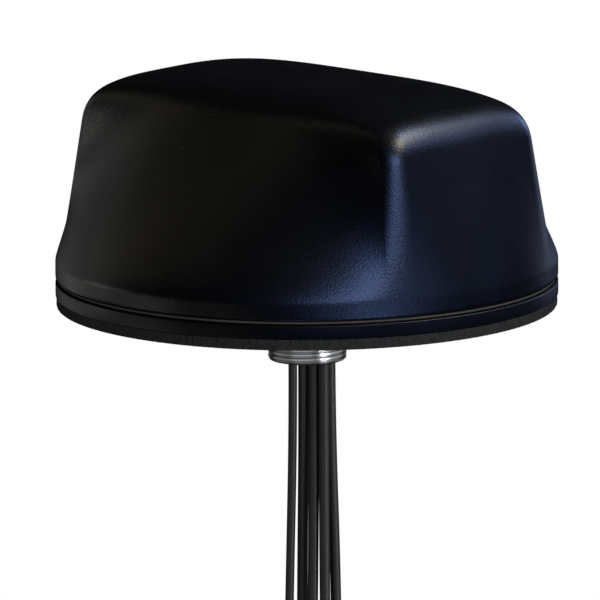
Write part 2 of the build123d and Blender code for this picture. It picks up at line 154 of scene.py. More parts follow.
@dataclass(frozen=True)
class Finish:
    """One material: its colour, gloss and relief.

    Attributes:
        name: the material's name.
        colour: sRGB hex colour of most of the surface.
        worn: sRGB hex colour of its lighter blotches.
        roughness: middle of the roughness.
        spread: how far the roughness goes to each side of its middle.
        metallic: 1 for a bare metal.
        specular: level of the mirror part.
        pattern: how the surface was made.
        grain_mm: size of one grain of the relief.
        relief_mm: depth of the relief.
        coat: weight of a clear coat.
    """

    name: str
    colour: str
    worn: str
    roughness: float
    spread: float = 0.06
    metallic: float = 0.0
    specular: float = 0.5
    pattern: Pattern = Pattern.POWDER
    grain_mm: float = 1.0
    relief_mm: float = 0.02
    coat: float = 0.0

    def material(self) -> bpy.types.Material:
        """Build the material, or hand back the one already built."""
        known = bpy.data.materials.get(self.name)
        if known:
            return known
        made = bpy.data.materials.new(self.name)
        made.use_nodes = True
        tree = made.node_tree
        tree.nodes.clear()
        place = add(tree, "ShaderNodeTexCoord").outputs["Object"]
        height, tone = self.relief(tree, place)
        bsdf = add(tree, "ShaderNodeBsdfPrincipled", {
            "Metallic": self.metallic,
            "Specular IOR Level": self.specular,
            "Coat Weight": self.coat,
        })
        low, high = self.roughness - self.spread, self.roughness + self.spread
        gloss = add(tree, "ShaderNodeMapRange", {"To Min": low, "To Max": high}, {"Value": tone})
        tree.links.new(gloss.outputs["Result"], bsdf.inputs["Roughness"])
        colour = ramp(tree, tone, [(0.25, linear(self.colour)), (0.8, linear(self.worn))])
        tree.links.new(colour, bsdf.inputs["Base Color"])
        bump = add(tree, "ShaderNodeBump", {"Strength": 1.0, "Distance": self.relief_mm * MM},
                   {"Height": height})
        tree.links.new(bump.outputs["Normal"], bsdf.inputs["Normal"])
        add(tree, "ShaderNodeOutputMaterial", {}, {"Surface": bsdf.outputs["BSDF"]})
        return made

    def relief(self, tree: bpy.types.NodeTree, place: bpy.types.NodeSocket) -> tuple:
        """Add the pattern's nodes.

        Args:
            tree: the material's node tree.
            place: Object coordinates.
        Returns:
            The height socket for the bump, and the tone socket for colour and gloss.
        """
        scale = 1.0 / (self.grain_mm * MM)
        blotch = add(tree, "ShaderNodeTexNoise", {"Scale": scale * 0.07, "Detail": 3.0},
                     {"Vector": place}).outputs["Fac"]
        if self.pattern in LINE_STRETCH:
            drawn = add(tree, "ShaderNodeMapping", {"Scale": LINE_STRETCH[self.pattern]},
                        {"Vector": place})
            lines = add(tree, "ShaderNodeTexNoise", {"Scale": scale, "Detail": 4.0, "Roughness": 0.6},
                        {"Vector": drawn.outputs["Vector"]}).outputs["Fac"]
            return lines, lines
        if self.pattern is Pattern.FOAM:
            cells = add(tree, "ShaderNodeTexVoronoi", {"Scale": scale}, {"Vector": place})
            crumbs = add(tree, "ShaderNodeTexNoise", {"Scale": scale * 0.45, "Detail": 6.0},
                         {"Vector": place})
            both = add(tree, "ShaderNodeMath", {"operation": "ADD"},
                       {0: cells.outputs["Distance"], 1: crumbs.outputs["Fac"]})
            return both.outputs["Value"], crumbs.outputs["Fac"]
        detail = 5.0 if self.pattern is Pattern.SPARK_GRAIN else 3.0
        grain = add(tree, "ShaderNodeTexNoise", {"Scale": scale, "Detail": detail, "Roughness": 0.62},
                    {"Vector": place}).outputs["Fac"]
        pits = add(tree, "ShaderNodeTexVoronoi", {"Scale": scale * 1.3}, {"Vector": place})
        mixed = add(tree, "ShaderNodeMath", {"operation": "MULTIPLY_ADD", 1: 0.35},
                    {0: pits.outputs["Distance"], 2: grain})
        return mixed.outputs["Value"], blotch


# Moulded ABS with spark-eroded grain: near black, broad soft highlights, a fine leather-like
# relief. Real grain is about 0.2 mm; it is drawn at 0.9 mm so that it shows.
COVER_ABS = Finish("moulded_abs", "#030303", "#060607", 0.34, 0.03, specular=0.4,
                   pattern=Pattern.SPARK_GRAIN, grain_mm=0.9, relief_mm=0.075)
# Powder-coated cast aluminium: as black as the cover, with less gloss and a shallower relief.
BASE_POWDER = Finish("powder_coat", "#040404", "#080809", 0.42, 0.05, specular=0.35,
                     pattern=Pattern.POWDER, grain_mm=1.2, relief_mm=0.02)
# Moulded silicone: matt dark grey that shows as a light line in the groove.
SEAL_SILICONE = Finish("moulded_silicone", "#464542", "#545350", 0.7, specular=0.3,
                       pattern=Pattern.POWDER, grain_mm=0.8, relief_mm=0.01)
# Closed-cell foam rubber, cut by knife: matt charcoal with open cells and crumbs at the cut edge.
PAD_FOAM = Finish("foam_rubber", "#2c2d2e", "#3d3e40", 0.92, 0.05, specular=0.15,
                  pattern=Pattern.FOAM, grain_mm=1.1, relief_mm=0.35)
# Zinc-plated turned steel: light grey, faint turning marks round the axis.
STUD_ZINC = Finish("zinc_plated_steel", "#b4b6b8", "#d0d2d4", 0.3, 0.08, metallic=1.0,
                   pattern=Pattern.TURNED, grain_mm=0.5, relief_mm=0.01)
# Extruded PVC jacket: charcoal, satin, with faint draw lines along the lead.
JACKET_PVC = Finish("extruded_pvc", "#232425", "#2d2e30", 0.5, 0.06, specular=0.4,
                    pattern=Pattern.EXTRUDED, grain_mm=1.4, relief_mm=0.03)
# Moulded nitrile grommet: black and matt.
GROMMET_NITRILE = Finish("moulded_nitrile", "#121212", "#1c1c1c", 0.75, specular=0.3,
                         pattern=Pattern.POWDER, grain_mm=0.7, relief_mm=0.03)
# Shrunk polyolefin sleeve: black, soft sheen, faint ripples.
SLEEVE_POLYOLEFIN = Finish("shrunk_polyolefin", "#141415", "#202021", 0.55, specular=0.4,
                           pattern=Pattern.EXTRUDED, grain_mm=2.0, relief_mm=0.04)
# Nickel-plated brass, turned and milled: warm silver with fine tool marks.
NUT_NICKEL = Finish("nickel_plated_brass", "#b9b3a6", "#d2ccbf", 0.24, 0.06, metallic=1.0,
                    pattern=Pattern.TURNED, grain_mm=0.4, relief_mm=0.006)
# Gold-plated brass, for contacts: bright and smooth.
CONTACT_GOLD = Finish("gold_plated_brass", "#d9a441", "#efc46a", 0.22, 0.05, metallic=1.0,
                      pattern=Pattern.TURNED, grain_mm=0.3, relief_mm=0.004)
# Turned fluoropolymer: waxy white.
INSULATOR_PTFE = Finish("turned_fluoropolymer", "#e2e1db", "#efeee9", 0.5, specular=0.4,
                        pattern=Pattern.TURNED, grain_mm=0.4, relief_mm=0.006)
# Rolled aluminium sheet: bright, with lines along the rolling direction.
CHASSIS_ALUMINIUM = Finish("rolled_aluminium", "#c9cbcd", "#dadcde", 0.32, 0.08, metallic=1.0,
                           pattern=Pattern.ROLLED, grain_mm=0.6, relief_mm=0.008)
# Tinned steel: duller and bluer than the aluminium.
TINNED_STEEL = Finish("tinned_steel", "#a9adb0", "#bfc3c6", 0.36, 0.08, metallic=1.0,
                      pattern=Pattern.ROLLED, grain_mm=0.8, relief_mm=0.008)
# Glass-fibre laminate under green solder mask: glossy, a weave just visible in the relief.
LAMINATE = Finish("solder_mask_laminate", "#0d3b22", "#14522f", 0.35, 0.06, specular=0.5,
                  pattern=Pattern.POWDER, grain_mm=0.6, relief_mm=0.01, coat=0.2)
# Sintered dielectric ceramic: chalky beige.
CERAMIC = Finish("sintered_ceramic", "#a39377", "#b9a98c", 0.8, specular=0.4,
                 pattern=Pattern.POWDER, grain_mm=0.5, relief_mm=0.02)
# Fired silver print: pale and matt.
SILVER_PRINT = Finish("fired_silver", "#c9c8c2", "#dddcd6", 0.45, metallic=1.0,
                      pattern=Pattern.POWDER, grain_mm=0.4, relief_mm=0.008)
# Etched copper foil: a reddish metal with faint rolling lines.
COPPER_FOIL = Finish("etched_copper", "#b8704a", "#cf8a62", 0.35, metallic=1.0,
                     pattern=Pattern.ROLLED, grain_mm=0.5, relief_mm=0.006)
# Turned brass: yellow, with fine tool marks.
BRASS = Finish("turned_brass", "#b08a3e", "#c9a45a", 0.3, metallic=1.0,
               pattern=Pattern.TURNED, grain_mm=0.4, relief_mm=0.008)


# ---------------------------------------------------------------- meshes

def grid_mesh(name: str, points: np.ndarray, closed_profile: bool, finish: Finish) -> bpy.types.Object:
    """Make a mesh that is wrapped round its first axis.

    Args:
        name: the piece's name.
        points: grid of shape (around, along, 3). With closed_profile the last column joins the
            first; otherwise the first and last columns are single points, and become poles.
        closed_profile: True for a ring, False for a closed bag with two poles.
        finish: material of the piece.
    Returns:
        The object, at the origin.
    """
    around, along, _ = points.shape
    if closed_profile:
        verts = points.reshape(-1, 3)
        index = np.arange(around * along).reshape(around, along)
        first, last = index, np.roll(index, -1, axis=1)
        corner = (first, np.roll(first, -1, axis=0), np.roll(last, -1, axis=0), last)
        faces = np.stack(corner, axis=-1).reshape(-1, 4).tolist()
    else:
        middle = points[:, 1:-1]
        verts = np.concatenate([middle.reshape(-1, 3), points[0, 0][None], points[0, -1][None]])
        index = np.arange(around * (along - 2)).reshape(around, along - 2)
        turned = np.roll(index, -1, axis=0)
        quads = np.stack((index[:, :-1], turned[:, :-1], turned[:, 1:], index[:, 1:]), axis=-1)
        start, end = len(verts) - 2, len(verts) - 1
        fan_a = np.stack((np.full(around, start), turned[:, 0], index[:, 0]), axis=-1)
        fan_b = np.stack((np.full(around, end), index[:, -1], turned[:, -1]), axis=-1)
        faces = quads.reshape(-1, 4).tolist() + fan_a.tolist() + fan_b.tolist()
    if signed_volume(verts, faces) < 0:
        faces = [face[::-1] for face in faces]
    mesh = bpy.data.meshes.new(name)
    mesh.from_pydata(verts, [], faces)
    mesh.validate()
    mesh.shade_smooth()
    mesh.materials.append(finish.material())
    piece = bpy.data.objects.new(name, mesh)
    bpy.context.scene.collection.objects.link(piece)
    return piece


def signed_volume(verts: np.ndarray, faces: list) -> float:
    """Six times the volume inside the faces, negative when they look inwards."""
    quads = np.array([face if len(face) == 4 else face + face[-1:] for face in faces])
    a, b, c, d = (verts[quads[:, i]] for i in range(4))
    first = np.einsum("ij,ij->i", a, np.cross(b, c))
    second = np.einsum("ij,ij->i", a, np.cross(c, d))
    return float((first + second).sum())


def swept(r: np.ndarray, z: np.ndarray, angle: np.ndarray) -> np.ndarray:
    """Place (r, z) outlines round the upright axis.

    Each point stands at its own radius and height, x its radius times the cosine of the angle and
    y its radius times the sine.

    Args:
        r: radii, one row for each angle or one row for all.
        z: heights, in the same form.
        angle: polar angles, as a column.
    Returns:
        Grid of shape (around, along, 3).
    """
    height = np.broadcast_to(z, (len(angle), z.shape[1]))
    return np.stack((r * np.cos(angle), r * np.sin(angle), height), axis=-1)


def full_turn(steps: int) -> np.ndarray:
    """Even polar angles of a full turn, as a column."""
    return np.linspace(0, 2 * np.pi, steps, endpoint=False)[:, None]


def turned_ring(name: str, outline: np.ndarray, finish: Finish, steps: int) -> bpy.types.Object:
    """Turn a closed (r, z) outline about the upright axis.

    Args:
        name: the piece's name.
        outline: closed outline as (r, z) rows, its last point not repeated.
        finish: material of the piece.
        steps: points round the circle.
    Returns:
        The object.
    """
    points = swept(outline[:, 0][None], outline[:, 1][None], full_turn(steps))
    return grid_mesh(name, points, True, finish)


def rounded(corners: list[tuple[float, float, float]], steps: int = 4) -> np.ndarray:
    """Round the corners of a closed outline.

    Each corner becomes a quadratic arc that starts and ends its own reach away, along its two sides.

    Args:
        corners: (r, z, reach) rows.
        steps: points on each arc.
    Returns:
        The outline as (r, z) rows.
    """
    spot = np.array([c[:2] for c in corners])
    reach = np.array([c[2] for c in corners])[:, None]
    back = np.roll(spot, 1, axis=0) - spot
    forth = np.roll(spot, -1, axis=0) - spot
    begin = spot + back / np.linalg.norm(back, axis=1)[:, None] * reach
    end = spot + forth / np.linalg.norm(forth, axis=1)[:, None] * reach
    t = np.linspace(0, 1, steps)[None, :, None]
    arc = (1 - t) ** 2 * begin[:, None] + 2 * t * (1 - t) * spot[:, None] + t ** 2 * end[:, None]
    return arc.reshape(-1, 2)


def dress(finish: Finish, *nodes: str) -> None:
    """Give CAD nodes a finish.

    Args:
        finish: the finish.
        nodes: names of the CAD nodes.
    """
    for node in nodes:
        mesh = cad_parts[node].data
        mesh.materials.clear()
        mesh.materials.append(finish.material())
        LOG.info("dressed %s in %s", node, finish.name)


def settle(piece: bpy.types.Object, body: str, slot: str, *nodes: str) -> None:
    """Ride a new piece on its body and hide the CAD nodes it stands for.

    Args:
        piece: the new piece.
        body: the body that carries it.
        slot: material slot of the record; not used.
        nodes: CAD nodes that it replaces.
    """
    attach(piece, body)
    if nodes:
        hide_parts(*nodes)
    LOG.info("made %s, %d vertices", piece.name, len(getattr(piece.data, "vertices", [])))


# ---------------------------------------------------------------- sub-assemblies

@dataclass
class DomeCover:
    """Moulded cover: a round skirt that rises into a crowned rounded rectangle.

    Attributes:
        half_length: half the top's length, along X.
        half_width: half the top's width, along Y.
        corner: radius of the top's corners, seen from above.
        crown_x: fall of the top from its peak to its ends.
        crown_y: fall of the top from its peak to its long sides.
        crown_power: power of both falls.
        edge_round: radius between the top and the sides.
        crease_reach: reach of the fold between side and skirt, to each side of it.
        flare: power by which the side spreads towards the skirt.
        skirt: height of the skirt.
        wall: thickness of the cover.
        lip_bevel: bevel of the skirt's foot.
        facet_drop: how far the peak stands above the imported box, whose facets cut it off.
        inner_corner: smallest radius of the inside's corners.
        around: points round the cover.
        corner_share: how much closer together the points stand at the corners.
        top_rows: points from the peak to the upper edge.
        edge_rows: points round the upper edge.
        side_rows: points down the side.
        fold_rows: points round the fold.
        skirt_rows: points down the skirt.
        inner_step: the inside keeps one in this many points of the outline.
    """

    half_length: float = 67.4 * MM
    half_width: float = 34.05 * MM
    corner: float = 6.5 * MM
    crown_x: float = 5.85 * MM
    crown_y: float = 3.95 * MM
    crown_power: float = 3.8
    edge_round: float = 14.5 * MM
    crease_reach: float = 0.9 * MM
    flare: float = 1.2
    skirt: float = 5.3 * MM
    wall: float = 2.6 * MM
    lip_bevel: float = 0.35 * MM
    facet_drop: float = 0.1 * MM
    inner_corner: float = 2.0 * MM
    around: int = 600
    corner_share: float = 3.0
    top_rows: int = 34
    edge_rows: int = 20
    side_rows: int = 34
    fold_rows: int = 14
    skirt_rows: int = 6
    inner_step: int = 3

    def angles(self) -> np.ndarray:
        """Polar angles, spaced along the rounded rectangle of the top, closer at its corners."""
        straight_x, straight_y = self.half_length - self.corner, self.half_width - self.corner
        arc = self.corner * math.pi / 2 * self.corner_share
        along = np.linspace(0, straight_y + arc + straight_x, self.around // 4, endpoint=False)
        turn = np.clip((along - straight_y) / arc, 0, 1) * math.pi / 2
        x = straight_x + self.corner * np.cos(turn) - np.clip(along - straight_y - arc, 0, None)
        y = np.minimum(along, straight_y) + self.corner * np.sin(turn)
        quarter = np.arctan2(y, x)
        mirrored = math.pi - quarter[:0:-1]
        half = np.concatenate([quarter, [math.pi / 2], mirrored])
        return np.concatenate([half, half + math.pi])

    def rim(self, angle: np.ndarray, inset: float) -> np.ndarray:
        """Polar radius of the rounded rectangle of the top.

        Inside a corner's square it is the far crossing of the ray with the corner's circle, and
        elsewhere the nearer of the two straight sides.

        Args:
            angle: polar angles.
            inset: distance that the rectangle is moved inwards.
        Returns:
            One radius for each angle.
        """
        c, s = np.abs(np.cos(angle)), np.abs(np.sin(angle))
        length, width = self.half_length - inset, self.half_width - inset
        corner = max(self.corner - inset, self.inner_corner)
        cx, cy = length - corner, width - corner
        side = np.minimum(length / np.maximum(c, 1e-9), width / np.maximum(s, 1e-9))
        along = c * cx + s * cy
        bend = along + np.sqrt(np.maximum(along ** 2 - (cx ** 2 + cy ** 2 - corner ** 2), 0))
        return np.where((side * c > cx) & (side * s > cy), bend, side)

    def crown(self, r: np.ndarray, angle: np.ndarray, peak: float) -> np.ndarray:
        """Height of the top: its peak less a power of the distance along each half axis."""
        x = np.abs(r * np.cos(angle)) / self.half_length
        y = np.abs(r * np.sin(angle)) / self.half_width
        return peak - self.crown_x * x ** self.crown_power - self.crown_y * y ** self.crown_power

    def profile(self, angle: np.ndarray, inset: float, radius: float, bottom: float,
                skirt_top: float, peak: float) -> tuple[np.ndarray, np.ndarray]:
        """Outline in each polar half plane, from the peak down to the skirt's foot.

        The side runs from the skirt circle to the rim, its radius a power of its height; the crown
        closes it. Both corners are quadratic arcs: the upper one's reach is its radius times the
        tangent of half the turn, and the lower one's is fixed.

        Args:
            angle: polar angles, as a column.
            inset: wall thickness to move inwards by.
            radius: skirt radius before the inset.
            bottom: height of the skirt's foot.
            skirt_top: height where the side leaves the skirt.
            peak: height of the crown's peak before the inset.
        Returns:
            Radii and heights, one row for each angle.
        """
        foot = radius - inset
        rim = self.rim(angle, inset)
        top = self.crown(rim, angle, peak - inset)
        rise, run = top - skirt_top, foot - rim
        length = np.hypot(rise, run)
        lean = np.arctan2(run, rise)
        near_rim = 0.97 * rim
        fall = np.arctan2(self.crown(near_rim, angle, peak - inset) - top, rim - near_rim)
        reach = (self.edge_round - inset) * np.tan((math.pi / 2 - lean - fall) / 2)
        crease = self.crease_reach * np.ones_like(rim)

        def side(share: np.ndarray) -> tuple[np.ndarray, np.ndarray]:
            """Point of the side at a share of its height."""
            return foot - run * share ** self.flare, skirt_top + rise * share

        def top_at(share: np.ndarray) -> tuple[np.ndarray, np.ndarray]:
            """Point of the crown at a share of the rim's radius."""
            return rim * share, self.crown(rim * share, angle, peak - inset)

        def arc(start: tuple, corner: tuple, end: tuple, steps: int) -> tuple:
            """Quadratic arc between two points, without its end points."""
            t = np.linspace(0, 1, steps)[None, 1:-1]
            ends = zip(start, corner, end)
            return tuple((1 - t) ** 2 * i + 2 * t * (1 - t) * j + t ** 2 * k for i, j, k in ends)

        side_low, side_high = crease / length, 1 - reach / length
        top_end = 1 - reach / rim
        quarter = np.linspace(0, math.pi / 2, self.top_rows)
        upper = top_at(top_end * np.sin(quarter)[None])
        edge = arc(top_at(top_end), (rim, top), side(side_high), self.edge_rows)
        down = np.linspace(0, 1, self.side_rows)[None]
        face = side(side_high + (side_low - side_high) * down)
        fold = arc(side(side_low), (np.full_like(rim, foot), np.full_like(rim, skirt_top)),
                   (np.full_like(rim, foot), skirt_top - crease), self.fold_rows)
        below = np.linspace(0, 1, self.skirt_rows)[None]
        skirt_z = (skirt_top - crease) + (bottom + self.lip_bevel - (skirt_top - crease)) * below
        skirt = (np.full_like(skirt_z, foot), skirt_z)
        parts = (upper, edge, face, fold, skirt)
        return tuple(np.concatenate([p[i] for p in parts], axis=1) for i in range(2))

    def build(self) -> None:
        """Make the cover as one closed shell: outside, foot, then inside."""
        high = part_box("radome")[1]
        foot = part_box("radome_seal")[1].z
        radius, peak = high.x, high.z + self.facet_drop
        angle = self.angles()[:, None]
        skirt_top = foot + self.skirt
        out_r, out_z = self.profile(angle, 0.0, radius, foot, skirt_top, peak)
        in_r, in_z = self.profile(angle, self.wall, radius, foot, skirt_top, peak)
        bevel, break_in = self.lip_bevel, 0.3 * self.lip_bevel
        ones = np.ones_like(angle)
        foot_r = ones * np.array([radius - break_in, radius - bevel, radius - self.wall + bevel])
        foot_z = ones * np.array([foot + break_in, foot, foot])
        last = in_r.shape[1] - 1
        inner = np.r_[0:last:self.inner_step, last][::-1]
        r = np.concatenate([out_r, foot_r, in_r[:, inner]], axis=1)
        z = np.concatenate([out_z, foot_z, in_z[:, inner]], axis=1)
        piece = grid_mesh("dome_cover", swept(r, z, angle), False, COVER_ABS)
        settle(piece, BODY, "radome_plastic", "radome")


@dataclass
class BaseStack:
    """Seal bead, black base band and foam pad.

    Attributes:
        band_bevel: bevel of the band's two outer edges.
        small_bevel: bevel of the edges inside the stack.
        bead_half: half the height of the seal's bead.
        bead_depth: how far the bead stands out from the groove's back.
        seal_width: distance from the base's rim to the seal's inner edge.
        lead_hole: radius of the hole in the base's middle.
        pocket: radius of the base's hollow.
        shelf: radius of the spigot's outside.
        floor: thickness of the base's floor.
        spigot: thickness of the spigot's wall at its crest.
        pad_hole: radius of the pad's hole.
        pad_bevel: bevel of the pad's edges.
        pad_rough: unevenness of the pad's cut edge.
        pad_waves: number of waves in the unevenness.
        pad_rows: points up the pad's cut edge.
        pad_steps: points round the pad.
    """

    band_bevel: float = 0.35 * MM
    small_bevel: float = 0.1 * MM
    bead_half: float = 0.34 * MM
    bead_depth: float = 2.0 * MM
    seal_width: float = 3.1 * MM
    lead_hole: float = 12.7 * MM
    pocket: float = 74.0 * MM
    shelf: float = 76.8 * MM
    floor: float = 2.5 * MM
    spigot: float = 1.6 * MM
    pad_hole: float = 14.0 * MM
    pad_bevel: float = 0.5 * MM
    pad_rough: float = 0.2 * MM
    pad_waves: int = 40
    pad_rows: int = 22
    pad_steps: int = 900

    def build(self) -> None:
        """Make the three rings."""
        self.build_seal()
        self.build_band()
        self.build_pad()

    def build_seal(self) -> None:
        """Ring with a rounded bead half way up the groove."""
        low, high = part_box("radome_seal")
        outer, inner = high.x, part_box("base_plate")[1].x - self.seal_width
        middle = (low.z + high.z) / 2
        under, over = middle - self.bead_half, middle + self.bead_half
        recess = outer - self.bead_depth
        small, sharp, lip = self.small_bevel, 0.05 * MM, 0.2 * MM
        corners = [
            (inner, low.z, small), (recess, low.z, sharp), (recess, under, sharp),
            (outer, under, lip), (outer, over, lip),
            (recess, over, sharp), (recess, high.z, sharp), (inner, high.z, small),
        ]
        piece = turned_ring("seal_ring", rounded(corners), SEAL_SILICONE, 320)
        settle(piece, BODY, "seal_rubber", "radome_seal")

    def build_band(self) -> None:
        """Turn the base: floor, bevelled outer band, and the spigot that carries the seal.

        The outline is a closed row of corners, each rounded by its own reach; the band's two
        outer corners are wide enough to catch a thin line of light.
        """
        low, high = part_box("base_plate")
        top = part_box("radome_seal")[0].z
        outer, edge, small = high.x, self.band_bevel, self.small_bevel
        hole, shelf, pocket = self.lead_hole, self.shelf, self.pocket
        crest, fillet = 0.4 * MM, 1.0 * MM
        corners = [
            (hole, low.z, small), (outer, low.z, edge), (outer, top, edge), (shelf, top, small),
            (shelf, high.z, crest), (shelf - self.spigot, high.z, crest),
            (pocket, top, small), (pocket, low.z + self.floor, fillet),
            (hole, low.z + self.floor, small),
        ]
        piece = turned_ring("base_band", rounded(corners, 6), BASE_POWDER, 384)
        settle(piece, BODY, "base_coat", "base_plate")

    def build_pad(self) -> None:
        """Foam ring whose cut edge is uneven.

        The outline's points move in and out by a sum of sines of the angle and the height, so the
        knife-cut edge is rough and the same on every run.
        """
        low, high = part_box("mounting_pad")
        radius, hole, bevel, arc_steps = high.x, self.pad_hole, self.pad_bevel, 6
        corners = [(hole, low.z, bevel), (radius, low.z, bevel), (radius, high.z, bevel / 2),
                   (hole, high.z, bevel)]
        base = rounded(corners, arc_steps)
        wall_z = np.linspace(low.z + bevel, high.z - bevel / 2, self.pad_rows)[1:-1]
        wall = np.stack((np.full_like(wall_z, radius), wall_z), axis=-1)
        wall_start = 2 * arc_steps
        outline = np.concatenate([base[:wall_start], wall, base[wall_start:]])
        angle = full_turn(self.pad_steps)
        r, z = outline[:, 0][None], outline[:, 1][None]
        rough = self.unevenness(angle, z)
        margin = 2 * MM
        near_edge = np.clip((r - radius + margin) / margin, 0, 1)
        r = r + np.minimum(rough, self.pad_rough * 0.6) * near_edge
        piece = grid_mesh("foam_pad", swept(r, z, angle), True, PAD_FOAM)
        settle(piece, BODY, "pad_foam", "mounting_pad")

    def unevenness(self, angle: np.ndarray, z: np.ndarray) -> np.ndarray:
        """Sum of sine waves of the angle and the height, with the same draws on every run.

        Args:
            angle: polar angles, as a column.
            z: heights, as a row.
        Returns:
            How far each point moves out, in metres.
        """
        draws = np.random.default_rng(7)
        fewest, most, steepest, latest = 60, 420, 2500, 6.3
        usual_peak = 12
        total = np.zeros((len(angle), z.shape[1]))
        for _ in range(self.pad_waves):
            turns = draws.integers(fewest, most)
            climb = draws.uniform(-steepest, steepest)
            total += np.sin(turns * angle + climb * z + draws.uniform(0, latest))
        return total * self.pad_rough / usual_peak


@dataclass
class ThreadedStud:
    """Hollow stud with a helical thread on its shank.

    Attributes:
        shank: radius over the thread's crests.
        neck: radius of the plain neck inside the base.
        bore: radius of the leads' passage.
        flange_height: thickness of the flange.
        pitch: pitch of the thread.
        depth: depth of the thread.
        chamfer: chamfer of the shank's end.
        small_chamfer: chamfer of the flange and the bore.
        thread_stop: height of the thread's upper end.
        root_share: reach of the groove to each side of its root, in pitches.
        root_power: power of the groove's slopes; under one makes the groove fuller.
        around: points round the stud.
        rows_per_pitch: points along one pitch.
    """

    shank: float = 12.5 * MM
    neck: float = 12.2 * MM
    bore: float = 9.3 * MM
    flange_height: float = 3.0 * MM
    pitch: float = 1.5 * MM
    depth: float = 0.7 * MM
    chamfer: float = 0.6 * MM
    small_chamfer: float = 0.3 * MM
    thread_stop: float = -0.2 * MM
    root_share: float = 0.24
    root_power: float = 0.8
    around: int = 200
    rows_per_pitch: int = 16

    def build(self) -> None:
        """Make the shank, neck, flange and bore as one ring.

        The shank's radius falls by the thread's depth where the height, counted in pitches less
        the turn round the axis, is near a whole number; the groove reaches root_share of a pitch to
        each side of that, and the end chamfer cuts it off.
        """
        low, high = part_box("threaded_stud")
        flange, neck, bore, edge = high.x, self.neck, self.bore, self.small_chamfer
        shoulder = high.z - self.flange_height
        rows = int(-low.z / self.pitch * self.rows_per_pitch) + 1
        shank_z = np.linspace(low.z, self.thread_stop, rows)
        angle = full_turn(self.around)
        phase = (shank_z[None] / self.pitch - angle / (2 * np.pi)) % 1.0
        off_root = np.minimum(phase, 1 - phase) / self.root_share
        groove = self.depth * np.clip(1 - off_root, 0, 1) ** self.root_power
        end = np.clip((shank_z - low.z) / self.chamfer, 0, 1)
        shank_r = np.minimum(self.shank - groove, self.shank - self.chamfer * (1 - end))
        ones = np.ones_like(angle)
        upper_r = ones * np.array([neck, neck, flange, flange, flange - edge])
        upper_z = ones * np.array([0.0, shoulder, shoulder, high.z - edge, high.z])
        inner_r = ones * np.array([bore, bore, bore + edge])
        inner_z = ones * np.array([high.z, low.z + edge, low.z])
        r = np.concatenate([shank_r, upper_r, inner_r], axis=1)
        z = np.concatenate([ones * shank_z[None], upper_z, inner_z], axis=1)
        piece = grid_mesh("stud_shank", swept(r, z, angle), True, STUD_ZINC)
        settle(piece, BODY, "stud_metal", "threaded_stud")


@dataclass
class Lead:
    """One free lead with the plug on its end.

    Attributes:
        name: the lead's name, which its CAD nodes begin with.
        radius: radius of the jacket.
        route: points from the grommet to the plug, in millimetres.
        length: length from the grommet to the plug.
    """

    name: str
    radius: float
    route: list[tuple[float, float, float]]
    length: float

    def build(self) -> None:
        curve = bpy.data.curves.new(f"{self.name}_cable", "CURVE")
        curve.dimensions = "3D"
        curve.resolution_u = 24
        curve.bevel_depth = self.radius
        curve.bevel_resolution = 8
        curve.use_fill_caps = True
        spline = curve.splines.new("NURBS")
        spline.points.add(len(self.route) - 1)
        for point, place in zip(spline.points, self.route):
            point.co = (*(MM * value for value in place), 1.0)
        spline.order_u = 3
        spline.use_endpoint_u = True
        curve.materials.append(JACKET_PVC.material())
        piece = bpy.data.objects.new(f"{self.name}_cable", curve)
        bpy.context.scene.collection.objects.link(piece)
        settle(piece, BODY, "lead_jacket", f"{self.name}_lead")


@dataclass
class LeadSet:
    """The five leads, side by side in the grommet and fanned out at their plugs.

    Attributes:
        tip_rear: height of the plugs' backs, in millimetres.
        exit_z: height of the grommet's lower face, in millimetres.
        length: length of every lead.
        thin_radius: radius of the positioning lead.
        thick_radius: radius of the other four.
        leads: the five leads.
    """

    tip_rear: float = -299.5
    exit_z: float = -14.5
    length: float = 0.285
    thin_radius: float = 1.4 * MM
    thick_radius: float = 1.7 * MM
    leads: list[Lead] = field(default_factory=list)

    def __post_init__(self) -> None:
        """Fill in the routes, in millimetres, as the CAD has them."""
        top, rear = self.exit_z, self.tip_rear
        routes = {
            "gnss": [(-3.1, -3.5, top), (-3.1, -3.5, -40), (-4.2, -4.2, -88), (-5.3, -4.9, -142),
                     (-6.3, -5.6, -194), (-6.8, -5.9, -246), (-6.8, -5.9, rear)],
            "cell_left": [(-1.4, -0.35, top), (-1.4, -0.35, -40), (-2.5, -0.2, -88),
                          (-4.5, 1.1, -142), (-6.8, 3.5, -194), (-7.8, 4.6, -246),
                          (-7.8, 4.6, rear)],
            "wifi_front": [(2.15, 0.6, top), (2.15, 0.6, -40), (2.3, -0.3, -88), (3.1, -2.9, -142),
                           (3.5, -6.4, -194), (3.5, -8.3, -246), (3.5, -8.3, rear)],
            "cell_right": [(5.55, 1.6, top), (5.55, 1.6, -40), (5.8, 1.2, -88), (6.8, 0.8, -142),
                           (8.2, 0.8, -194), (9.0, 0.8, -246), (9.0, 0.8, rear)],
            "wifi_rear": [(5.1, 5.2, top), (5.1, 5.2, -40), (5.4, 7.0, -88), (4.6, 8.3, -142),
                          (3.0, 8.8, -194), (2.0, 8.9, -246), (2.0, 8.9, rear)],
        }
        for name, route in routes.items():
            radius = self.thin_radius if name == "gnss" else self.thick_radius
            self.leads.append(Lead(name, radius, route, self.length))

    def build(self) -> None:
        """Make every lead, and dress the plugs."""
        for lead in self.leads:
            lead.build()
            dress(CONTACT_GOLD, f"{lead.name}_plug")
            dress(NUT_NICKEL, f"{lead.name}_nut")
            dress(JACKET_PVC, f"{lead.name}_inner_lead")
        dress(SLEEVE_POLYOLEFIN, "plug_boots")
        dress(TINNED_STEEL, "plug_ferrules")
        dress(INSULATOR_PTFE, "plug_insulators")
        dress(CONTACT_GOLD, "plug_pins")


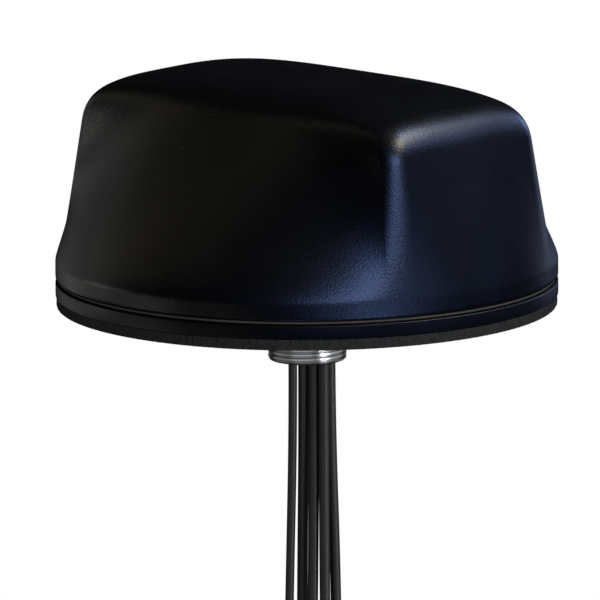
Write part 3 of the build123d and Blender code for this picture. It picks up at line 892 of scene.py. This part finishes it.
class InnerWorks:
    """Everything under the cover; the CAD shapes stay, and get their finishes."""

    def build(self) -> None:
        """Dress every inner node."""
        dress(CHASSIS_ALUMINIUM, "chassis_plate")
        dress(LAMINATE, "receiver_board", "cell_board_left", "cell_board_right",
              "wifi_board_front", "wifi_board_rear")
        dress(CERAMIC, "patch_tile_lower", "patch_tile_upper")
        dress(SILVER_PRINT, "patch_electrode_lower", "patch_electrode_upper")
        dress(COPPER_FOIL, "element_radiators")
        dress(BRASS, "board_standoffs", "patch_feed_pin")
        dress(TINNED_STEEL, "shield_can", "element_brackets")
        dress(CONTACT_GOLD, "element_jacks", "gnss_jack")
        dress(STUD_ZINC, "stud_screws", "radome_screws", "chassis_screws", "board_screws",
              "bracket_screws")
        dress(GROMMET_NITRILE, "cable_grommet")


# ---------------------------------------------------------------- studio

class Target(Enum):
    """What a softbox lights: the cover, the cover and the base, or everything else."""

    COVER = "cover"
    SHELL = "shell"
    HARDWARE = "hardware"


class Tint(Enum):
    """Linear colour of a softbox, with its strongest channel at one."""

    WHITE = (1.0, 1.0, 1.0)
    SOFT_WHITE = (1.0, 0.99, 0.94)
    COOL_WHITE = (0.92, 0.96, 1.0)
    WARM = (1.0, 0.88, 0.52)
    PALE_BLUE = (0.52, 0.65, 1.0)
    BLUE = (0.37, 0.51, 1.0)
    DEEP_BLUE = (0.25, 0.41, 1.0)


@dataclass(frozen=True)
class Softbox:
    """One square soft light that looks at the dome.

    Attributes:
        name: the light's name.
        azimuth: degrees right of the camera, seen from the object.
        elevation: degrees above the horizon.
        watts: power.
        tint: colour.
        size: length of its side in metres.
        target: the pieces that it lights.
    """

    name: str
    azimuth: float
    elevation: float
    watts: float
    tint: Tint
    size: float = 0.7
    target: Target = Target.SHELL


SOFTBOXES: Final[tuple[Softbox, ...]] = (
    Softbox("from_below", 0, -80, 4.2, Tint.PALE_BLUE),
    Softbox("right_low", 30, -20, 12.0, Tint.DEEP_BLUE, target=Target.COVER),
    Softbox("left_low", -135, -16, 0.9, Tint.SOFT_WHITE),
    Softbox("left_front_low", -78, -16, 1.9, Tint.SOFT_WHITE),
    Softbox("front_left_low", -41, -18, 0.7, Tint.WARM),
    Softbox("front_right_top", 58, 52, 13.0, Tint.COOL_WHITE),
    Softbox("back_left_level", -144, 0, 0.5, Tint.COOL_WHITE),
    Softbox("left_level", -108, 0, 2.3, Tint.SOFT_WHITE),
    Softbox("right_front_level", 54, 0, 2.0, Tint.DEEP_BLUE),
    Softbox("right_level", 90, 0, 0.9, Tint.DEEP_BLUE),
    Softbox("back_right_level", 144, 0, 1.3, Tint.PALE_BLUE),
    Softbox("back_left_raised", -135, 18, 0.3, Tint.SOFT_WHITE),
    Softbox("left_raised", -120, 18, 0.6, Tint.SOFT_WHITE),
    Softbox("front_raised", 15, 18, 12.0, Tint.DEEP_BLUE),
    Softbox("right_front_raised", 30, 18, 19.0, Tint.BLUE, target=Target.COVER),
    Softbox("back_right_raised", 135, 18, 9.0, Tint.BLUE),
    Softbox("left_high", -108, 36, 0.5, Tint.WARM),
    Softbox("right_high", 90, 36, 7.7, Tint.DEEP_BLUE),
    Softbox("left_top", -84, 54, 0.4, Tint.WARM),
    Softbox("right_top", 84, 54, 20.0, Tint.WARM),
    Softbox("back_right_top", 108, 54, 18.5, Tint.PALE_BLUE),
    Softbox("lead_key", 52, -6, 20.0, Tint.WHITE, target=Target.HARDWARE),
    Softbox("front_wrap", -15, -12, 13.0, Tint.WHITE, 2.8, Target.HARDWARE),
    Softbox("left_wrap", -85, -5, 5.0, Tint.WHITE, 2.4, Target.HARDWARE),
    Softbox("right_wrap", 95, -5, 8.0, Tint.WHITE, 2.4, Target.HARDWARE),
    Softbox("back_wrap", 180, -5, 5.0, Tint.WHITE, 2.4, Target.HARDWARE),
)
# The pieces that each target takes in; the hardware's lights leave these out and take all others.
LIT_PIECES: Final[dict[Target, tuple[str, ...]]] = {
    Target.COVER: ("dome_cover",),
    Target.SHELL: ("dome_cover", "base_band"),
    Target.HARDWARE: ("dome_cover", "base_band"),
}


@dataclass
class Studio:
    """Camera, world, floor and soft lights.

    Attributes:
        azimuth: degrees from the -Y side round to the camera, towards +X.
        elevation: degrees of the camera above the horizon.
        roll: degrees that the camera leans.
        distance: metres from the object's origin to the camera.
        frame_width: metres across the view at the object.
        offset_right: how far the camera is moved to its right.
        offset_up: how far the camera is moved up.
        floor_drop: metres from the lowest plug down to the floor.
        floor_half: half the floor's side in metres.
        dim: the world's strength for every ray that doesn't come from the camera.
        lamp_distance: metres from the object's origin to every softbox.
    """

    azimuth: float = 42.37
    elevation: float = 10.76
    roll: float = -0.339
    distance: float = 5.443
    frame_width: float = 0.19091
    offset_right: float = -2.22 * MM
    offset_up: float = 1.15 * MM
    floor_drop: float = 0.03
    floor_half: float = 0.45
    dim: float = 0.004
    lamp_distance: float = 2.2

    def direction(self, azimuth: float, elevation: float) -> Vector:
        """Unit vector from the object towards an azimuth, right of the camera, and an elevation."""
        a, e = math.radians(self.azimuth + azimuth), math.radians(elevation)
        return Vector((math.sin(a) * math.cos(e), -math.cos(a) * math.cos(e), math.sin(e)))

    def build(self) -> None:
        """Set up camera, world, floor and lights."""
        self.build_camera()
        self.build_world()
        self.build_floor()
        groups = {target: self.group(target) for target in Target}
        for softbox in SOFTBOXES:
            self.hang(softbox, groups[softbox.target])

    def build_camera(self) -> None:
        """Long lens from the three-quarter side, a little above."""
        back = self.direction(0, self.elevation)
        camera = bpy.data.cameras.new("camera")
        camera.lens = camera.sensor_width * self.distance / self.frame_width
        camera.clip_end = 100.0
        item = bpy.data.objects.new("camera", camera)
        item.rotation_mode = "QUATERNION"
        turn = (-back).to_track_quat("-Z", "Y")
        twist = Euler((0, 0, math.radians(self.roll))).to_quaternion()
        item.rotation_quaternion = turn @ twist
        right, up = turn @ Vector((1, 0, 0)), turn @ Vector((0, 1, 0))
        item.location = back * self.distance + right * self.offset_right + up * self.offset_up
        bpy.context.scene.collection.objects.link(item)
        bpy.context.scene.camera = item
        bpy.context.scene.view_settings.view_transform = "Standard"

    def build_world(self) -> None:
        """White to the camera, dim to everything else, so that the black cover stays black."""
        world = bpy.data.worlds.new("world")
        bpy.context.scene.world = world
        world.use_nodes = True
        tree = world.node_tree
        tree.nodes.clear()
        seen = add(tree, "ShaderNodeBackground", {"Color": WHITE, "Strength": 1.0})
        unseen = add(tree, "ShaderNodeBackground", {"Color": WHITE, "Strength": self.dim})
        path = add(tree, "ShaderNodeLightPath")
        mix = add(tree, "ShaderNodeMixShader", {}, {
            0: path.outputs["Is Camera Ray"],
            1: unseen.outputs["Background"],
            2: seen.outputs["Background"],
        })
        add(tree, "ShaderNodeOutputWorld", {}, {"Surface": mix.outputs["Shader"]})

    def build_floor(self) -> None:
        """Pale floor below the plugs, kept out of the reflections and of the lights' way."""
        level = CAD_BOX[0].z - self.floor_drop
        mesh = bpy.data.meshes.new("floor")
        half = self.floor_half
        corners = [(x * half, y * half, level) for x, y in ((-1, -1), (1, -1), (1, 1), (-1, 1))]
        mesh.from_pydata(corners, [], [(0, 1, 2, 3)])
        floor = bpy.data.objects.new("floor", mesh)
        bpy.context.scene.collection.objects.link(floor)
        paint = bpy.data.materials.new("floor_paint")
        paint.use_nodes = True
        tree = paint.node_tree
        tree.nodes.clear()
        glow = add(tree, "ShaderNodeEmission", {"Color": WHITE, "Strength": 1.0})
        add(tree, "ShaderNodeOutputMaterial", {}, {"Surface": glow.outputs["Emission"]})
        mesh.materials.append(paint)
        floor.visible_glossy = False
        floor.visible_diffuse = False
        floor.visible_shadow = False

    @staticmethod
    def group(target: Target) -> bpy.types.Collection:
        """Make the group of pieces that one kind of softbox lights.

        The group names the pieces that it takes in or, for the hardware, leaves out.

        Args:
            target: the kind of softbox.
        Returns:
            The group, which isn't part of the scene.
        """
        made = bpy.data.collections.new(f"lit_{target.value}")
        for name in LIT_PIECES[target]:
            made.objects.link(bpy.data.objects[name])
        for member in made.collection_objects:
            member.light_linking.link_state = "EXCLUDE" if target is Target.HARDWARE else "INCLUDE"
        return made

    def hang(self, softbox: Softbox, lit: bpy.types.Collection) -> None:
        """Add one softbox at the lamp distance, turned to the dome.

        Args:
            softbox: where it stands and what it gives.
            lit: the pieces that it lights.
        """
        lamp = bpy.data.lights.new(softbox.name, "AREA")
        lamp.shape = "SQUARE"
        lamp.size = softbox.size
        lamp.energy = softbox.watts
        lamp.color = softbox.tint.value
        item = bpy.data.objects.new(softbox.name, lamp)
        away = self.direction(softbox.azimuth, softbox.elevation)
        item.location = away * self.lamp_distance
        item.rotation_mode = "QUATERNION"
        item.rotation_quaternion = (-away).to_track_quat("-Z", "Y")
        item.light_linking.receiver_collection = lit
        bpy.context.scene.collection.objects.link(item)


def main() -> None:
    """Build every sub-assembly in order, then the studio."""
    logging.basicConfig(level=logging.INFO, format="%(name)s: %(message)s")
    DomeCover().build()
    BaseStack().build()
    ThreadedStud().build()
    LeadSet().build()
    InnerWorks().build()
    Studio().build()


if __name__ == "__main__":
    main()
